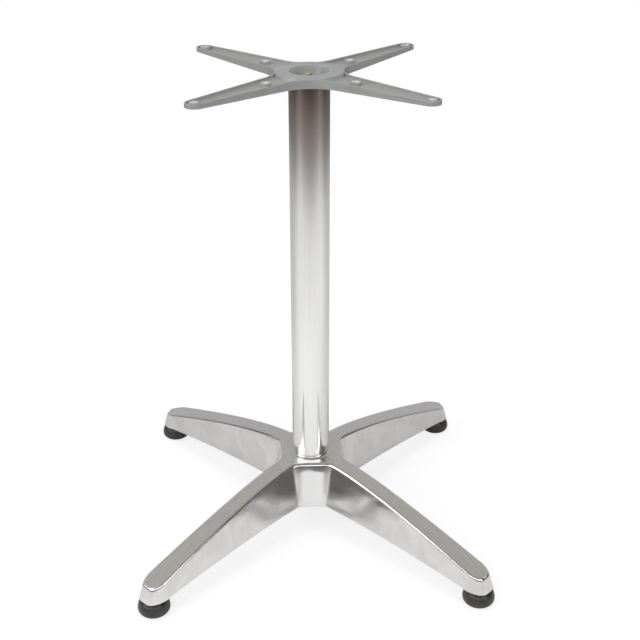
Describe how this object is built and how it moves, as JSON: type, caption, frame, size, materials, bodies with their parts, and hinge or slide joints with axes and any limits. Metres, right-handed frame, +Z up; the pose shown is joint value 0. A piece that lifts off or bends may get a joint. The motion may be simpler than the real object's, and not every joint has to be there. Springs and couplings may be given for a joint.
{
  "type": "pedestal table base",
  "caption": "Cast cross foot on levelling glides, a round tube column and a cast spider that screws to the underside of a table top.",
  "frame": {"origin": "on the floor, on the column's axis, between the four glides", "axes": "+Z up the column, -Y towards the front, +X to the right; legs and arms lie on the diagonals"},
  "size_m": [0.515, 0.515, 0.72],
  "materials": {
    "cast_aluminium": "polished sides, brushed top faces",
    "tube_aluminium": "polished",
    "grey_paint": "satin powder coat",
    "yellow_zinc": "yellow zinc plate",
    "bright_zinc": "bright zinc plate",
    "black_glide": "moulded, satin"
  },
  "bodies": {
    "pedestal": {"base_casting": "cast_aluminium", "column_tube": "tube_aluminium", "top_spider": "grey_paint", "tie_rod": "yellow_zinc", "top_washer": "bright_zinc", "top_nut": "bright_zinc", "bottom_washer": "bright_zinc", "bottom_nut": "bright_zinc"},
    "front_left_glide": {"glide_pad_front_left": "black_glide", "glide_stud_front_left": "bright_zinc"},
    "front_right_glide": {"glide_pad_front_right": "black_glide", "glide_stud_front_right": "bright_zinc"},
    "back_left_glide": {"glide_pad_back_left": "black_glide", "glide_stud_back_left": "bright_zinc"},
    "back_right_glide": {"glide_pad_back_right": "black_glide", "glide_stud_back_right": "bright_zinc"}
  },
  "joints": [
    {"name": "front_left_level", "type": "slide", "parent": "pedestal", "child": "front_left_glide", "axis": [0, 0, -1], "range_m": [0, 0.008]},
    {"name": "front_right_level", "type": "slide", "parent": "pedestal", "child": "front_right_glide", "axis": [0, 0, -1], "range_m": [0, 0.008]},
    {"name": "back_left_level", "type": "slide", "parent": "pedestal", "child": "back_left_glide", "axis": [0, 0, -1], "range_m": [0, 0.008]},
    {"name": "back_right_level", "type": "slide", "parent": "pedestal", "child": "back_right_glide", "axis": [0, 0, -1], "range_m": [0, 0.008]}
  ]
}
